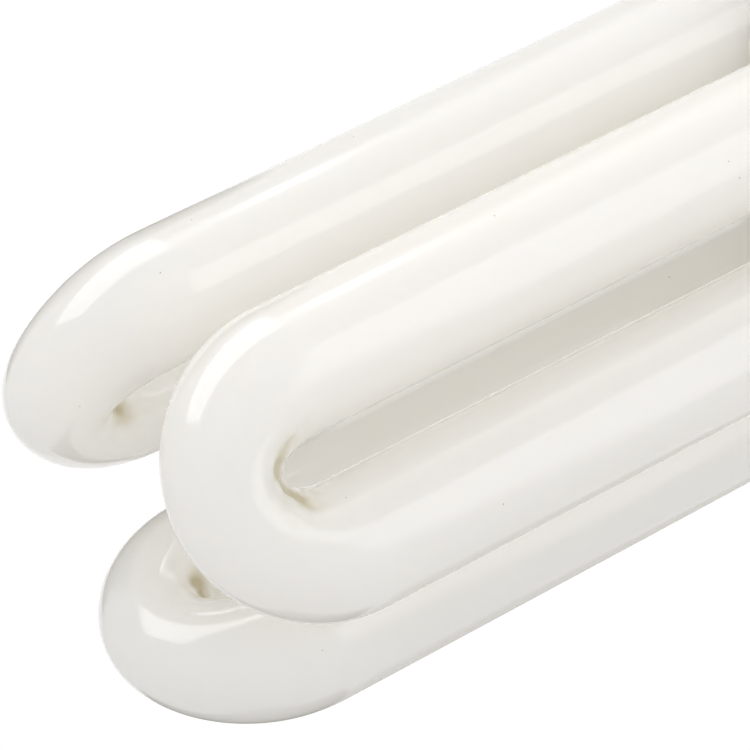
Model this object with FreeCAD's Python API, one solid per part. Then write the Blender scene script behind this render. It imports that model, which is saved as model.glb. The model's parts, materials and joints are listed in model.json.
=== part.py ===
import FreeCAD, Part
import math
import os
from FreeCAD import Vector

# A compact fluorescent lamp with its ballast built in. Three white U-bent glass tubes
# stand in a triangle in a moulded holder, which snaps onto a bowl-shaped ballast case
# that ends in an E27 screw cap. All sizes are in millimetres. +Z runs along the lamp
# from the cap to the tips of the tubes, and the origin is the lowest point of the
# centre contact, on the lamp's axis. The front tube faces -Y.

# Glass tubes
TUBE_D = 12.0
LEG_GAP = 3.9
AXIS_GAP = 8.4
BEND_STRETCH = 1.207
BEND_THINNING = 0.152
BEND_THINNING_POWER = 2.26
GLASS_ABOVE_HOLDER = 88.0
LEG_IN_HOLDER = 13.0
BEND_BANDS = 12
SEAL_WIDTH = 8.0
SEAL_THICKNESS = 3.0
SEAL_LENGTH = 3.0
BRIDGE_D = 6.0
BRIDGE_ABOVE_HOLDER = 9.0

# Screw cap
SOLDER_RISE = 0.8
SOLDER_D = 4.0
CONTACT_D = 10.0
CONTACT_SHEET = 0.6
WIRE_HOLE_D = 2.0
INSULATOR_TIP_D = 11.0
INSULATOR_CONE = 3.6
INSULATOR_DEPTH = 4.5
SHELL_D = 26.4
SHELL_SHEET = 0.3
SHELL_LIP_D = 19.4
SHELL_LENGTH = 21.0

# Ballast case
NECK_WALL = 2.4
NECK_CLEARANCE = 0.05
NECK_FOOT_GAP = 1.1
COLLAR_D = 29.0
COLLAR_HEIGHT = 1.5
CONE_HALF_ANGLE = 45.0
CASE_WALL = 1.7
CASE_HEIGHT = 40.0
RIB_THICKNESS = 1.6
RIB_REACH = 2.2
RIB_HEIGHT = 7.0

# Tube holder
LEG_CLEARANCE = 0.15
LEG_TO_SPIGOT = 0.35
SPIGOT_WALL = 1.4
SPIGOT_CLEARANCE = 0.1
HOLDER_RIM = 8.0
HOLDER_CHAMFER = 1.6
DECK_THICKNESS = 2.0
CEMENT_WIDTH = 7.0
CEMENT_DEPTH = 4.0
SNAP_COUNT = 4
SNAP_WIDTH = 5.0
SNAP_HEIGHT = 1.5
SNAP_PROUD = 0.6
SNAP_CLEARANCE = 0.15
SNAP_ABOVE_FOOT = 4.0

# Circuit board
BOARD_THICKNESS = 1.6
BOARD_BELOW_CASE_TOP = 9.4
BOARD_CLEARANCE = 0.8
SEAT_CLEARANCE = 0.1
LEAD_SIZE = 0.6
LEAD_HOLE = 0.8
LEAD_STUB = 0.9
PIN_SIZE = 0.8
PIN_HEIGHT = 3.8
PIN_PITCH = 4.6
PIN_PAIR_PITCH = 14.0
PIN_RADIUS = 19.8
LEAD_WIRE_D = 0.5
CAP_WIRE_D = 1.2
PINCHED_WIRE_D = 0.6
WIRE_SIDES = 8

# How far a lead starts inside its body, and how far a cut runs past the faces it opens
LEAD_ROOT = 1.0
CUT_MARGIN = 1.0

# Parts on the board: where each stands and its sizes
CAPACITOR_AT = (-12.5, 7.5)
CAPACITOR_D = 10.0
CAPACITOR_LENGTH = 16.0
CAPACITOR_PITCH = 5.0
CHOKE_AT = (0.0, -8.0)
CHOKE_WIDTH = 16.0
CHOKE_HEIGHT = 14.4
CHOKE_DEPTH = 5.0
CHOKE_YOKE = 2.6
CHOKE_POST = 4.6
BOBBIN_WALL = 0.8
BOBBIN_FLANGE = 11.0
BOBBIN_FOOT = 2.0
FILTER_AT = (13.5, 6.5)
FILTER_D = 7.0
FILTER_HEIGHT = 10.0
FILTER_PITCH = 4.0
RING_AT = (0.5, 4.6)
RING_D = 9.0
RING_BORE = 5.0
RING_HEIGHT = 3.4
RING_LIFT = 1.2
WINDING_SHEET = 0.7
WINDING_WIDTH = 2.0
WINDING_COUNT = 3
TRANSISTOR_AT = ((-5.4, 13.2), (5.4, 13.2))
TRANSISTOR_WIDTH = 7.8
TRANSISTOR_DEPTH = 2.7
TRANSISTOR_HEIGHT = 10.8
TRANSISTOR_LIFT = 2.0
TRANSISTOR_PITCH = 2.3
FILM_CAPS = {
    "resonant_capacitor": ((15.5, -4.5), (4.0, 10.0, 9.0)),
    "blocking_capacitor": ((-15.5, -5.0), (4.5, 10.5, 9.5)),
    "start_capacitor": ((4.6, -17.5), (7.2, 3.0, 6.5)),
}
RECTIFIER_AT = (-6.5, -17.6)
RECTIFIER_SIZE = (8.4, 3.4, 6.4)
RECTIFIER_PITCH = 5.0
CHIP_SIZE = (3.2, 1.6, 0.6)
CHIP_AT = ((0.5, 4.6), (0.0, -8.0), (10.5, -10.5), (-11.5, -2.5))
DIAC_AT = (-10.0, -9.0)
DIAC_D = 1.8
DIAC_LENGTH = 4.0
DIAC_PITCH = 5.4
FUSE_D = 3.0
FUSE_LENGTH = 9.0
FUSE_AT = (7.4, 0.4)
FUSE_BELOW_BOARD = 9.0
WIRE_LEVEL_IN_NECK = 6.0
NEUTRAL_HOOK = 5.0

# Places that follow from the sizes above
TUBE_R = TUBE_D / 2
LEG_SPACING = TUBE_D + LEG_GAP
TUBE_TO_AXIS = TUBE_R + AXIS_GAP
LEG_RING_R = math.hypot(TUBE_TO_AXIS, LEG_SPACING / 2)
BEND_RISE = BEND_STRETCH * LEG_SPACING / 2
SPIGOT_R_IN = LEG_RING_R + TUBE_R + LEG_TO_SPIGOT
SPIGOT_R = SPIGOT_R_IN + SPIGOT_WALL
CASE_R_IN = SPIGOT_R + SPIGOT_CLEARANCE
CASE_R = CASE_R_IN + CASE_WALL
CONTACT_Z = SOLDER_RISE
TIP_Z = CONTACT_Z + CONTACT_SHEET
LIP_Z = TIP_Z + INSULATOR_CONE
SHELL_R = SHELL_D / 2
SHELL_R_IN = SHELL_R - SHELL_SHEET
LIP_R = SHELL_LIP_D / 2
SHELL_TOP_Z = LIP_Z + SHELL_LENGTH
INSULATOR_TOP_Z = LIP_Z + INSULATOR_DEPTH
NECK_Z = INSULATOR_TOP_Z + NECK_FOOT_GAP
NECK_R = SHELL_R_IN - NECK_CLEARANCE
NECK_R_IN = NECK_R - NECK_WALL
NEUTRAL_X = PINCHED_WIRE_D - NECK_R_IN
CASE_TOP_Z = SHELL_TOP_Z + CASE_HEIGHT
DECK_Z = CASE_TOP_Z + HOLDER_RIM
BOARD_TOP_Z = CASE_TOP_Z - BOARD_BELOW_CASE_TOP
BOARD_Z = BOARD_TOP_Z - BOARD_THICKNESS
BOARD_R = CASE_R_IN - BOARD_CLEARANCE
SPIGOT_Z = BOARD_TOP_Z + SEAT_CLEARANCE
LEG_END_Z = DECK_Z - LEG_IN_HOLDER
SEAL_Z = LEG_END_Z - SEAL_LENGTH
TIP_RADIUS = TUBE_R * (1 - BEND_THINNING)
BEND_Z = DECK_Z + GLASS_ABOVE_HOLDER - BEND_RISE - TIP_RADIUS
TUBE_FACES = {"front_u_tube": -90.0, "left_u_tube": 150.0, "right_u_tube": 30.0}
UP = Vector(0, 0, 1)
ORIGIN = Vector(0, 0, 0)


def lathe(corners):
    """A solid turned about the lamp's axis from its corners (r, z)."""
    points = [Vector(r, 0, z) for r, z in corners]
    face = Part.Face(Part.makePolygon(points + points[:1]))
    return face.revolve(ORIGIN, UP, 360)


def upright(d, x, y, low, high):
    """A round bar of diameter d from low to high."""
    return Part.makeCylinder(d / 2, high - low, Vector(x, y, low), UP)


def block(x, y, width, depth, low, high):
    """A block centred on (x, y), from low to high."""
    corner = Vector(x - width / 2, y - depth / 2, low)
    return Part.makeBox(width, depth, high - low, corner)


def turned(shape, degrees):
    """A copy of the shape turned about the lamp's axis."""
    copy = shape.copy()
    copy.rotate(ORIGIN, UP, degrees)
    return copy


def joined(shapes):
    """Shapes that belong to one moulding or casting, as one solid."""
    result = shapes[0].fuse(shapes[1:])
    return result.removeSplitter()


def bent_wire(points, d):
    """A wire along straight runs with mitred corners, its section drawn with few sides."""
    path = Part.makePolygon([Vector(*p) for p in points])
    start = Vector(*points[0])
    ahead = (Vector(*points[1]) - start).normalize()
    side = ahead.cross(Vector(0, 1, 0)).normalize()
    rim = []
    for i in range(WIRE_SIDES + 1):
        turn = FreeCAD.Rotation(ahead, 360 * i / WIRE_SIDES)
        rim.append(start + turn.multVec(side) * (d / 2))
    sweep = Part.BRepOffsetAPI.MakePipeShell(path)
    sweep.setTransitionMode(1)
    sweep.add(Part.makePolygon(rim))
    sweep.build()
    sweep.makeSolid()
    return sweep.shape()


def leg_centre(face_angle, side):
    """The centre of one leg: side is 1 or -1 along the tube's plane."""
    angle = math.radians(face_angle)
    along = side * LEG_SPACING / 2
    x = TUBE_TO_AXIS * math.cos(angle) - along * math.sin(angle)
    y = TUBE_TO_AXIS * math.sin(angle) + along * math.cos(angle)
    return x, y


def all_legs():
    """The centres of the six legs."""
    return [leg_centre(angle, side) for angle in TUBE_FACES.values() for side in (-1, 1)]


# The two rear legs that hold the electrodes, and the pairs of legs that a bridge joins
ELECTRODE_LEGS = {"left": leg_centre(150.0, -1), "right": leg_centre(30.0, 1)}
BRIDGED_LEGS = {
    "left_bridge": (leg_centre(-90.0, -1), leg_centre(150.0, 1)),
    "right_bridge": (leg_centre(-90.0, 1), leg_centre(30.0, -1)),
}


def bend():
    """The U bend: round sections along a half ellipse, thinnest at the top."""
    half = LEG_SPACING / 2
    rings = []
    for i in range(BEND_BANDS + 1):
        turn = math.pi * i / BEND_BANDS
        centre = Vector(-half * math.cos(turn), 0, BEND_RISE * math.sin(turn))
        heading = Vector(half * math.sin(turn), 0, BEND_RISE * math.cos(turn))
        radius = TUBE_R * (1 - BEND_THINNING * abs(math.sin(turn)) ** BEND_THINNING_POWER)
        rings.append(Part.Wire([Part.makeCircle(radius, centre, heading)]))
    return Part.makeLoft(rings, True, True)


def u_tube(name):
    """One U-bent tube: two legs, the bend, and a pinched seal on an electrode leg."""
    half = LEG_SPACING / 2
    top = bend()
    top.translate(Vector(0, 0, BEND_Z))
    legs = [upright(TUBE_D, side * half, 0, LEG_END_Z, BEND_Z) for side in (-1, 1)]
    pieces = [top] + legs
    seal_side = {"left_u_tube": half, "right_u_tube": -half}.get(name)
    if seal_side is not None:
        pieces.append(block(seal_side, 0, SEAL_WIDTH, SEAL_THICKNESS, SEAL_Z, LEG_END_Z))
    tube = joined(pieces)
    tube.translate(Vector(0, TUBE_TO_AXIS, 0))
    return turned(tube, TUBE_FACES[name] - 90)


def bridge(name):
    """A short glass bridge whose ends are saddles on the two legs that it joins."""
    (x0, y0), (x1, y1) = BRIDGED_LEGS[name]
    z = DECK_Z + BRIDGE_ABOVE_HOLDER
    way = Vector(x1 - x0, y1 - y0, 0)
    bar = Part.makeCylinder(BRIDGE_D / 2, way.Length, Vector(x0, y0, z), way)
    for x, y in ((x0, y0), (x1, y1)):
        bar = bar.cut(upright(TUBE_D, x, y, z - BRIDGE_D, z + BRIDGE_D))
    return bar


def tube_cement():
    """Three dabs of cement under the deck, each between the two legs of one tube."""
    top = DECK_Z - DECK_THICKNESS
    legs = [upright(TUBE_D, x, y, top - 2 * CEMENT_DEPTH, DECK_Z) for x, y in all_legs()]
    dab = block(TUBE_TO_AXIS, 0, CEMENT_WIDTH, LEG_SPACING, top - CEMENT_DEPTH, top)
    dabs = [turned(dab, angle).cut(legs) for angle in TUBE_FACES.values()]
    return Part.makeCompound(dabs)


def snap_lug(extra):
    """One snap lug of the spigot, grown by extra to make its pocket in the case."""
    middle = SPIGOT_Z + SNAP_ABOVE_FOOT
    half = SNAP_HEIGHT / 2 + extra
    proud = SPIGOT_CLEARANCE + SNAP_PROUD + extra
    inner = SPIGOT_R - SPIGOT_WALL / 2
    depth = SPIGOT_R + proud - inner
    return block(inner + depth / 2, 0, depth, SNAP_WIDTH + 2 * extra, middle - half, middle + half)


def tube_holder():
    """The upper moulding: a deck with six leg holes, a rounded rim and a spigot."""
    under = DECK_Z - DECK_THICKNESS
    body = lathe([
        (SPIGOT_R_IN, SPIGOT_Z),
        (SPIGOT_R, SPIGOT_Z),
        (SPIGOT_R, CASE_TOP_Z),
        (CASE_R, CASE_TOP_Z),
        (CASE_R, DECK_Z - HOLDER_CHAMFER),
        (CASE_R - HOLDER_CHAMFER, DECK_Z),
        (0, DECK_Z),
        (0, under),
        (SPIGOT_R_IN, under),
    ])
    lugs = [turned(snap_lug(0), 360 * i / SNAP_COUNT) for i in range(SNAP_COUNT)]
    hole_d = TUBE_D + 2 * LEG_CLEARANCE
    holes = [upright(hole_d, x, y, under - CUT_MARGIN, DECK_Z + CUT_MARGIN) for x, y in all_legs()]
    return joined([body] + lugs).cut(holes)


def neutral_radius():
    """How far from the axis the pinched end of the neutral wire lies."""
    return SHELL_R_IN - PINCHED_WIRE_D / 2 - NECK_CLEARANCE


def ballast_case():
    """The lower moulding: neck, collar, cone and bowl, with ribs under the board."""
    slope = math.radians(CONE_HALF_ANGLE)
    collar_r = COLLAR_D / 2
    cone_z = SHELL_TOP_Z + COLLAR_HEIGHT
    bowl_z = cone_z + (CASE_R - collar_r) / math.tan(slope)
    inner_r = collar_r - CASE_WALL * math.cos(slope)
    inner_z = cone_z + CASE_WALL * math.sin(slope)
    bowl_z_in = inner_z + (CASE_R_IN - inner_r) / math.tan(slope)
    neck_top_z = inner_z + (NECK_R_IN - inner_r) / math.tan(slope)
    body = lathe([
        (NECK_R_IN, NECK_Z),
        (NECK_R, NECK_Z),
        (NECK_R, SHELL_TOP_Z),
        (collar_r, SHELL_TOP_Z),
        (collar_r, cone_z),
        (CASE_R, bowl_z),
        (CASE_R, CASE_TOP_Z),
        (CASE_R_IN, CASE_TOP_Z),
        (CASE_R_IN, bowl_z_in),
        (NECK_R_IN, neck_top_z),
    ])
    reach = RIB_REACH + CASE_WALL / 2
    rib = block(CASE_R_IN - RIB_REACH + reach / 2, 0, reach, RIB_THICKNESS, BOARD_Z - RIB_HEIGHT, BOARD_Z)
    step = 360 / SNAP_COUNT
    ribs = [turned(rib, step * (i + 0.5)) for i in range(SNAP_COUNT)]
    pockets = [turned(snap_lug(SNAP_CLEARANCE), step * i) for i in range(SNAP_COUNT)]
    depth = NECK_R - neutral_radius() + PINCHED_WIRE_D / 2 + SEAT_CLEARANCE
    width = PINCHED_WIRE_D + 2 * SEAT_CLEARANCE
    groove = block(-NECK_R, 0, 2 * depth, width, NECK_Z - CUT_MARGIN, NECK_Z + NEUTRAL_HOOK + SEAT_CLEARANCE)
    return joined([body] + ribs).cut(pockets + [groove])


def screw_shell():
    """The shell of the screw cap, turned in to a lip at its lower end."""
    return lathe([
        (LIP_R, LIP_Z),
        (SHELL_R, LIP_Z),
        (SHELL_R, SHELL_TOP_Z),
        (SHELL_R_IN, SHELL_TOP_Z),
        (SHELL_R_IN, LIP_Z + SHELL_SHEET),
        (LIP_R, LIP_Z + SHELL_SHEET),
    ])


def cap_insulator():
    """The insulator that closes the shell's lower end round the contact."""
    return lathe([
        (WIRE_HOLE_D / 2, TIP_Z),
        (INSULATOR_TIP_D / 2, TIP_Z),
        (LIP_R, LIP_Z),
        (LIP_R, INSULATOR_TOP_Z),
        (WIRE_HOLE_D / 2, INSULATOR_TOP_Z),
    ])


def centre_contact():
    """The contact plate with the hole that the live wire comes through."""
    return lathe([
        (WIRE_HOLE_D / 2, CONTACT_Z),
        (CONTACT_D / 2, CONTACT_Z),
        (CONTACT_D / 2, TIP_Z),
        (WIRE_HOLE_D / 2, TIP_Z),
    ])


def contact_solder():
    """The drop of solder under the contact, where the live wire ends."""
    return upright(SOLDER_D, 0, 0, 0, CONTACT_Z)


def lead_pair(x, y, pitch, along_y=False):
    """The places of two leads, spaced by pitch about (x, y)."""
    dx, dy = (0, pitch / 2) if along_y else (pitch / 2, 0)
    return [(x - dx, y - dy), (x + dx, y + dy)]


def leads(places, low):
    """Square leads from low up through the board."""
    top = BOARD_TOP_Z + LEAD_STUB
    return [block(x, y, LEAD_SIZE, LEAD_SIZE, low, top) for x, y in places]


def electrolytic_capacitor():
    """The smoothing capacitor, hanging from the board into the bowl."""
    x, y = CAPACITOR_AT
    can = upright(CAPACITOR_D, x, y, BOARD_Z - CAPACITOR_LENGTH, BOARD_Z)
    return joined([can] + leads(lead_pair(x, y, CAPACITOR_PITCH), BOARD_Z - LEAD_ROOT))


def choke_levels():
    """The lower and upper faces of the choke's core."""
    top = BOARD_Z - BOBBIN_FOOT
    return top - CHOKE_HEIGHT, top


def choke_core():
    """The choke's ferrite core: a closed frame round a middle post."""
    x, y = CHOKE_AT
    low, high = choke_levels()
    frame = block(x, y, CHOKE_WIDTH, CHOKE_DEPTH, low, high)
    window = (CHOKE_WIDTH - CHOKE_POST) / 2 - CHOKE_YOKE
    offset = CHOKE_POST / 2 + window / 2
    for side in (-1, 1):
        gap = block(x + side * offset, y, window, 2 * CHOKE_DEPTH, low + CHOKE_YOKE, high - CHOKE_YOKE)
        frame = frame.cut(gap)
    return frame


def choke_spool():
    """The sizes of the bobbin's barrel and the levels between its flanges."""
    low, high = choke_levels()
    width = CHOKE_POST + 2 * BOBBIN_WALL
    depth = CHOKE_DEPTH + 2 * BOBBIN_WALL
    return width, depth, low + CHOKE_YOKE, high - CHOKE_YOKE


def choke_bobbin():
    """The choke's bobbin: barrel, two flanges and two feet on the board."""
    x, y = CHOKE_AT
    width, depth, low, high = choke_spool()
    reach = CHOKE_WIDTH - 2 * CHOKE_YOKE
    barrel = block(x, y, width, depth, low, high)
    pieces = [barrel]
    pieces.append(block(x, y, reach, BOBBIN_FLANGE, low, low + BOBBIN_WALL))
    pieces.append(block(x, y, reach, BOBBIN_FLANGE, high - BOBBIN_WALL, high))
    foot_depth = (BOBBIN_FLANGE - CHOKE_DEPTH) / 2 - BOBBIN_WALL
    foot_y = BOBBIN_FLANGE / 2 - foot_depth / 2
    for side in (-1, 1):
        pieces.append(block(x, y + side * foot_y, reach, foot_depth, high - BOBBIN_WALL, BOARD_Z))
    body = joined(pieces)
    post = block(x, y, CHOKE_POST, CHOKE_DEPTH, low - CUT_MARGIN, high + CUT_MARGIN)
    pins = leads(choke_pins(), BOARD_Z - LEAD_ROOT)
    return joined([body.cut(post)] + pins)


def choke_pins():
    """The places of the bobbin's four pins."""
    x, y = CHOKE_AT
    dx = (CHOKE_WIDTH - 2 * CHOKE_YOKE) / 2 - LEAD_SIZE
    dy = BOBBIN_FLANGE / 2 - LEAD_SIZE
    return [(x + sx * dx, y + sy * dy) for sx in (-1, 1) for sy in (-1, 1)]


def choke_winding():
    """The choke's coil of wire as one body round the bobbin's barrel."""
    x, y = CHOKE_AT
    width, depth, low, high = choke_spool()
    reach = CHOKE_WIDTH - 2 * CHOKE_YOKE
    z0 = low + BOBBIN_WALL
    z1 = high - BOBBIN_WALL
    coil = block(x, y, reach - BOBBIN_WALL, BOBBIN_FLANGE - BOBBIN_WALL, z0, z1)
    coil = coil.makeChamfer(BOBBIN_WALL, [e for e in coil.Edges if abs(e.tangentAt(0).z) > 0.99])
    return coil.cut(block(x, y, width, depth, z0 - CUT_MARGIN, z1 + CUT_MARGIN))


def filter_choke():
    """The mains filter choke, a wound drum in its shrunk sleeve."""
    x, y = FILTER_AT
    body = upright(FILTER_D, x, y, BOARD_Z - FILTER_HEIGHT, BOARD_Z)
    return joined([body] + leads(lead_pair(x, y, FILTER_PITCH), BOARD_Z - LEAD_ROOT))


def drive_ring():
    """The ring core whose three windings drive the transistors."""
    x, y = RING_AT
    high = BOARD_Z - RING_LIFT
    ring = upright(RING_D, x, y, high - RING_HEIGHT, high)
    return ring.cut(upright(RING_BORE, x, y, high - RING_HEIGHT - CUT_MARGIN, high + CUT_MARGIN))


def winding_angles():
    """The directions of the windings round the ring."""
    return [90 + 360 * i / WINDING_COUNT for i in range(WINDING_COUNT)]


def drive_windings():
    """Three wire loops round the ring, each with its two ends through the board."""
    x, y = RING_AT
    high = BOARD_Z - RING_LIFT
    low = high - RING_HEIGHT
    middle = (RING_D + RING_BORE) / 4
    reach = (RING_D - RING_BORE) / 2
    loops = []
    for angle in winding_angles():
        outer = block(middle, 0, reach + 2 * WINDING_SHEET, WINDING_WIDTH, low - WINDING_SHEET, high + WINDING_SHEET)
        foot_x = RING_D / 2 + WINDING_SHEET / 2
        foot = block(foot_x, 0, WINDING_SHEET, LEAD_SIZE, high, BOARD_TOP_Z + LEAD_STUB)
        loop = turned(joined([outer, foot]), angle)
        loop.translate(Vector(x, y, 0))
        loops.append(loop.cut(drive_ring()))
    return Part.makeCompound(loops)


def winding_holes():
    """The places where the windings' ends pass the board."""
    x, y = RING_AT
    foot = RING_D / 2 + WINDING_SHEET / 2
    places = []
    for angle in winding_angles():
        turn = math.radians(angle)
        places.append((x + foot * math.cos(turn), y + foot * math.sin(turn)))
    return places


def transistor_leads(at):
    """The places of a transistor's three leads."""
    return [(at[0] + i * TRANSISTOR_PITCH, at[1]) for i in (-1, 0, 1)]


def transistor(at):
    """A flat moulded power transistor, standing on three leads."""
    x, y = at
    high = BOARD_Z - TRANSISTOR_LIFT
    low = high - TRANSISTOR_HEIGHT
    body = block(x, y, TRANSISTOR_WIDTH, TRANSISTOR_DEPTH, low, high)
    return joined([body] + leads(transistor_leads(at), high - LEAD_ROOT))


def film_capacitor(name):
    """A boxed film capacitor on two leads."""
    (x, y), (width, depth, height) = FILM_CAPS[name]
    body = block(x, y, width, depth, BOARD_Z - height, BOARD_Z)
    return joined([body] + leads(film_leads(name), BOARD_Z - LEAD_ROOT))


def film_leads(name):
    """The places of a film capacitor's two leads, along its long side."""
    (x, y), (width, depth, height) = FILM_CAPS[name]
    if depth > width:
        return lead_pair(x, y, depth / 2, True)
    return lead_pair(x, y, width / 2)


def bridge_rectifier():
    """The moulded bridge rectifier, which turns the mains into direct current."""
    x, y = RECTIFIER_AT
    width, depth, height = RECTIFIER_SIZE
    body = block(x, y, width, depth, BOARD_Z - height, BOARD_Z)
    return joined([body] + leads(lead_pair(x, y, RECTIFIER_PITCH), BOARD_Z - LEAD_ROOT))


def chip_resistors():
    """The small resistors on the board's upper side."""
    width, depth, height = CHIP_SIZE
    top = BOARD_TOP_Z + height
    return Part.makeCompound([block(x, y, width, depth, BOARD_TOP_Z, top) for x, y in CHIP_AT])


def diac_leads():
    """The places of the diac's two leads."""
    return lead_pair(*DIAC_AT, DIAC_PITCH, True)


def diac():
    """The diac, a small glass part that lies on the board."""
    x, y = DIAC_AT
    z = BOARD_Z - DIAC_D / 2
    body = Part.makeCylinder(DIAC_D / 2, DIAC_LENGTH, Vector(x, y - DIAC_LENGTH / 2, z), Vector(0, 1, 0))
    low = z - LEAD_SIZE / 2
    bar = block(x, y, LEAD_SIZE, DIAC_PITCH + LEAD_SIZE, low, low + LEAD_SIZE)
    return joined([body, bar] + leads(diac_leads(), low))


def fuse_resistor():
    """The fuse resistor in the live wire, hanging below the board."""
    x, y = FUSE_AT
    high = BOARD_Z - FUSE_BELOW_BOARD
    body = upright(FUSE_D, x, y, high - FUSE_LENGTH, high)
    return joined([body] + leads([FUSE_AT], high - LEAD_ROOT))


def live_wire():
    """The insulated wire from the contact's solder to the fuse resistor."""
    x, y = FUSE_AT
    level = NECK_Z + WIRE_LEVEL_IN_NECK
    top = BOARD_Z - FUSE_BELOW_BOARD - FUSE_LENGTH
    points = [(0, 0, CONTACT_Z), (0, 0, NECK_Z), (x, y, level), (x, y, top)]
    return bent_wire(points, CAP_WIRE_D)


def neutral_wire():
    """The wire from the board that hooks round the neck's foot, inside the shell."""
    outer = -neutral_radius()
    level = NECK_Z - NECK_FOOT_GAP / 2
    points = [
        (NEUTRAL_X, 0, BOARD_TOP_Z + LEAD_STUB),
        (NEUTRAL_X, 0, level),
        (outer, 0, level),
        (outer, 0, NECK_Z + NEUTRAL_HOOK),
    ]
    return bent_wire(points, PINCHED_WIRE_D)


def pin_places(side):
    """The places of the two posts that take one electrode's wires."""
    x, y = ELECTRODE_LEGS[side]
    sign = 1 if x > 0 else -1
    middle = sign * PIN_PAIR_PITCH / 2
    places = []
    for step in (-1, 1):
        px = middle + step * PIN_PITCH / 2
        places.append((px, math.sqrt(PIN_RADIUS ** 2 - px ** 2)))
    return places


def terminal_pins():
    """Four square posts at the board's rear edge."""
    places = pin_places("left") + pin_places("right")
    low = BOARD_Z - LEAD_STUB
    high = BOARD_TOP_Z + PIN_HEIGHT
    return Part.makeCompound([block(x, y, PIN_SIZE, PIN_SIZE, low, high) for x, y in places])


def seal_wires(side):
    """Where the two lead-in wires leave the seal of an electrode leg."""
    x, y = ELECTRODE_LEGS[side]
    turn = math.atan2(y, x) - math.copysign(math.atan2(LEG_SPACING / 2, TUBE_TO_AXIS), x)
    dx = -math.sin(turn) * SEAL_WIDTH / 4
    dy = math.cos(turn) * SEAL_WIDTH / 4
    return [(x - dx, y - dy), (x + dx, y + dy)]


def lead_wires(side):
    """The two lead-in wires from an electrode's seal to its posts."""
    level = BOARD_TOP_Z + LEAD_WIRE_D / 2 + SEAT_CLEARANCE
    top = BOARD_TOP_Z + PIN_HEIGHT
    starts = sorted(seal_wires(side), key=lambda place: abs(place[0]))
    posts = sorted(pin_places(side), key=lambda place: abs(place[0]))
    wires = []
    for (sx, sy), (px, py) in zip(starts, posts):
        end_y = py - PIN_SIZE / 2 - LEAD_WIRE_D / 2
        points = [(sx, sy, SEAL_Z), (sx, sy, level), (px, end_y, level), (px, end_y, top)]
        wires.append(bent_wire(points, LEAD_WIRE_D))
    return Part.makeCompound(wires)


def board_holes():
    """Every place where a lead passes the board, with the size of its hole."""
    places = lead_pair(*CAPACITOR_AT, CAPACITOR_PITCH)
    places += choke_pins()
    places += lead_pair(*FILTER_AT, FILTER_PITCH)
    places += transistor_leads(TRANSISTOR_AT[0]) + transistor_leads(TRANSISTOR_AT[1])
    for name in FILM_CAPS:
        places += film_leads(name)
    places += lead_pair(*RECTIFIER_AT, RECTIFIER_PITCH)
    places += diac_leads()
    places += [FUSE_AT, (NEUTRAL_X, 0)]
    return places


def circuit_board():
    """The round board with a punched hole for each lead."""
    board = upright(2 * BOARD_R, 0, 0, BOARD_Z, BOARD_TOP_Z)
    low = BOARD_Z - CUT_MARGIN
    high = BOARD_TOP_Z + CUT_MARGIN
    holes = [block(x, y, LEAD_HOLE, LEAD_HOLE, low, high) for x, y in board_holes()]
    pin_hole = PIN_SIZE + LEAD_HOLE - LEAD_SIZE
    pins = pin_places("left") + pin_places("right")
    holes += [block(x, y, pin_hole, pin_hole, low, high) for x, y in pins]
    slot = WINDING_SHEET + LEAD_HOLE - LEAD_SIZE
    for angle, (x, y) in zip(winding_angles(), winding_holes()):
        hole = block(0, 0, slot, LEAD_HOLE, low, high)
        hole = turned(hole, angle)
        hole.translate(Vector(x, y, 0))
        holes.append(hole)
    return board.cut(holes)


def build_all():
    """Every piece of the lamp by its name."""
    pieces = {name: u_tube(name) for name in TUBE_FACES}
    pieces.update({name: bridge(name) for name in BRIDGED_LEGS})
    pieces["tube_cement"] = tube_cement()
    pieces["tube_holder"] = tube_holder()
    pieces["ballast_case"] = ballast_case()
    pieces["screw_shell"] = screw_shell()
    pieces["cap_insulator"] = cap_insulator()
    pieces["centre_contact"] = centre_contact()
    pieces["contact_solder"] = contact_solder()
    pieces["live_wire"] = live_wire()
    pieces["neutral_wire"] = neutral_wire()
    pieces["fuse_resistor"] = fuse_resistor()
    pieces["circuit_board"] = circuit_board()
    pieces["terminal_pins"] = terminal_pins()
    pieces["left_lead_wires"] = lead_wires("left")
    pieces["right_lead_wires"] = lead_wires("right")
    pieces["electrolytic_capacitor"] = electrolytic_capacitor()
    pieces["choke_core"] = choke_core()
    pieces["choke_bobbin"] = choke_bobbin()
    pieces["choke_winding"] = choke_winding()
    pieces["filter_choke"] = filter_choke()
    pieces["drive_ring"] = drive_ring()
    pieces["drive_windings"] = drive_windings()
    pieces["transistor_1"] = transistor(TRANSISTOR_AT[0])
    pieces["transistor_2"] = transistor(TRANSISTOR_AT[1])
    for name in FILM_CAPS:
        pieces[name] = film_capacitor(name)
    pieces["bridge_rectifier"] = bridge_rectifier()
    pieces["chip_resistors"] = chip_resistors()
    pieces["diac"] = diac()
    return pieces


os.makedirs("parts", exist_ok=True)
for node, shape in build_all().items():
    shape.exportStep("parts/" + node + ".step")
    print(node, "valid", shape.isValid(), "solids", len(shape.Solids), "volume", round(shape.Volume, 1))
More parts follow.
